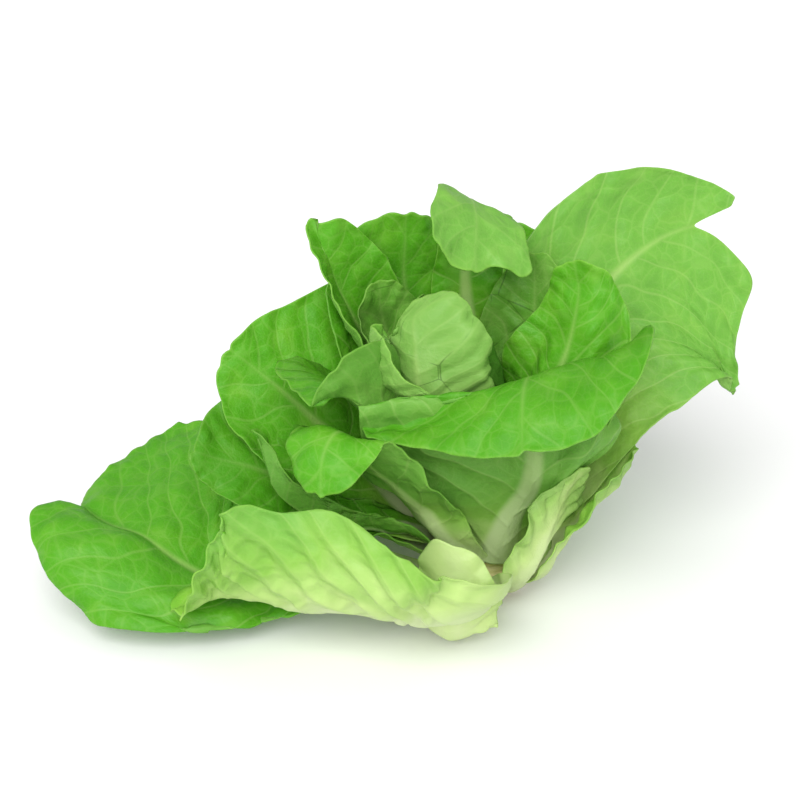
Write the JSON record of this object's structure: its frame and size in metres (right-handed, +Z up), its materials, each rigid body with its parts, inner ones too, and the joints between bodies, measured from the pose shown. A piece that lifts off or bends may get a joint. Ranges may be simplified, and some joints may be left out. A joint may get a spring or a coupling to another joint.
{
  "type": "head of lettuce",
  "caption": "Loose butterhead lettuce standing on its cut stem: open outer leaves with frilled rims, one rim folded down in front, round a pale wrapped heart.",
  "frame": {"origin": "centre of the cut face at the foot of the stem", "axes": "+Z up through the heart, +X towards the largest standing leaf, -Y towards the leaf with the folded rim"},
  "size_m": [0.2772, 0.2284, 0.1571],
  "materials": {
    "outer_leaf": "satin",
    "heart_leaf": "satin",
    "cut_stem": "matte"
  },
  "bodies": {
    "root": {"stem": "cut_stem", "left_ground_leaf": "outer_leaf", "back_ground_leaf": "outer_leaf", "front_left_leaf": "outer_leaf", "front_base_leaf": "outer_leaf", "right_base_leaf": "outer_leaf", "right_ragged_leaf": "outer_leaf", "back_left_leaf": "outer_leaf", "back_right_leaf": "outer_leaf", "right_big_leaf": "outer_leaf", "left_side_leaf": "outer_leaf", "left_low_leaf": "outer_leaf", "back_leaf": "outer_leaf", "left_narrow_leaf": "outer_leaf", "front_small_leaf": "outer_leaf", "front_fold_leaf": "outer_leaf", "left_top_leaf": "outer_leaf", "back_left_top_leaf": "outer_leaf", "right_upright_leaf": "outer_leaf", "left_pouch_leaf": "outer_leaf", "right_inner_leaf": "heart_leaf", "top_curl_leaf": "outer_leaf", "left_back_inner_leaf": "heart_leaf", "left_inner_leaf": "heart_leaf", "heart_right_leaf": "heart_leaf", "heart_left_leaf": "heart_leaf", "heart_front_leaf": "heart_leaf"}
  },
  "joints": []
}
